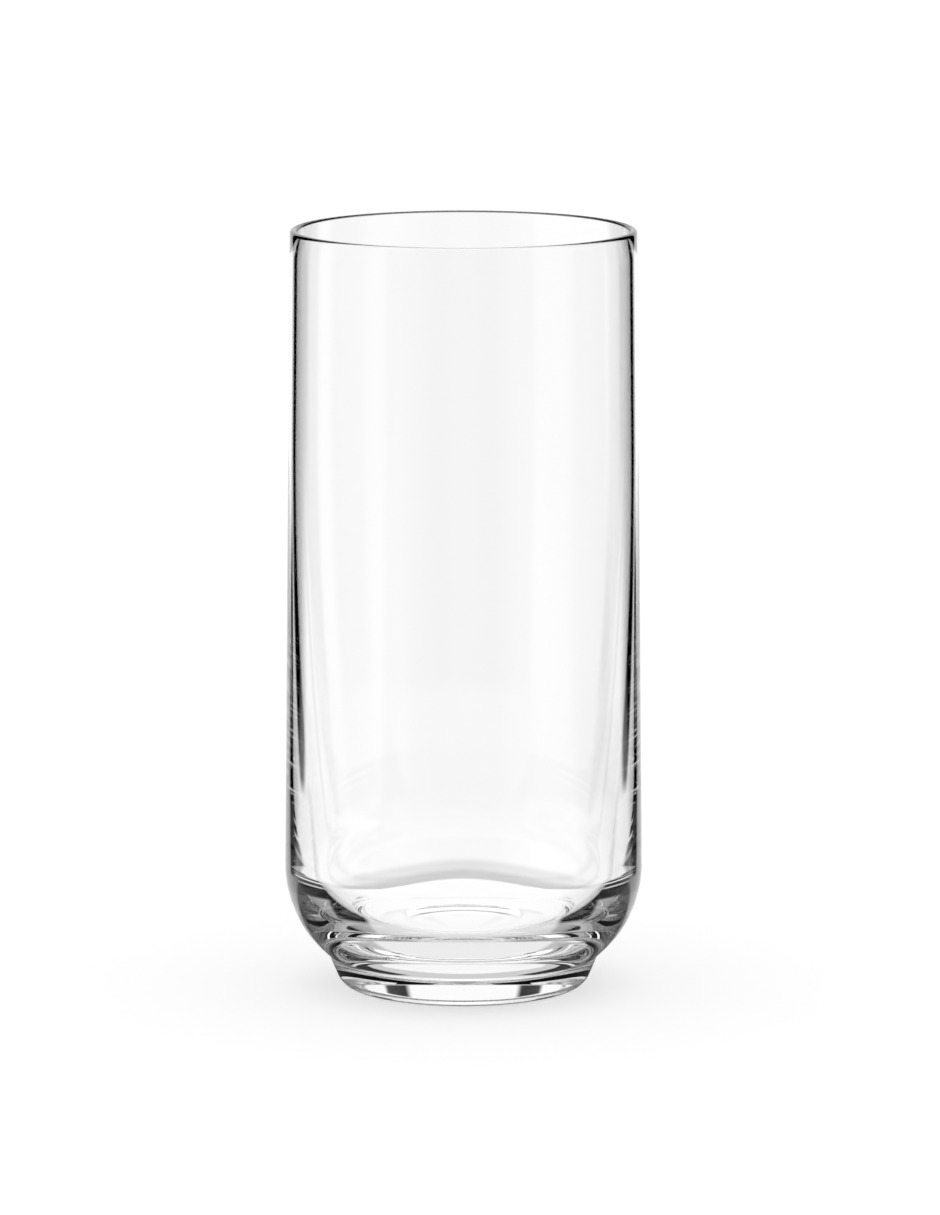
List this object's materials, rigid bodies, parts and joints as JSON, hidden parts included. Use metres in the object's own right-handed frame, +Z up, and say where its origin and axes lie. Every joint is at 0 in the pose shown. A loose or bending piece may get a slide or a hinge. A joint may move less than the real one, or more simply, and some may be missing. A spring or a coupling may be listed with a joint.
{
  "type": "highball glass",
  "caption": "Tall clear drinking glass with a nearly straight wall, a heavy rounded base, a short tapered foot and a fire-polished rim, to hold a long drink.",
  "frame": {"origin": "centre of the ring on which the glass stands, at the level of the surface under it", "axes": "+Z up along the axis of the glass, from the foot to the rim"},
  "size_m": [0.0704, 0.0704, 0.15],
  "materials": {
    "clear_glass": "fire-polished soda-lime glass"
  },
  "bodies": {
    "root": {"tumbler": "clear_glass"}
  },
  "joints": []
}
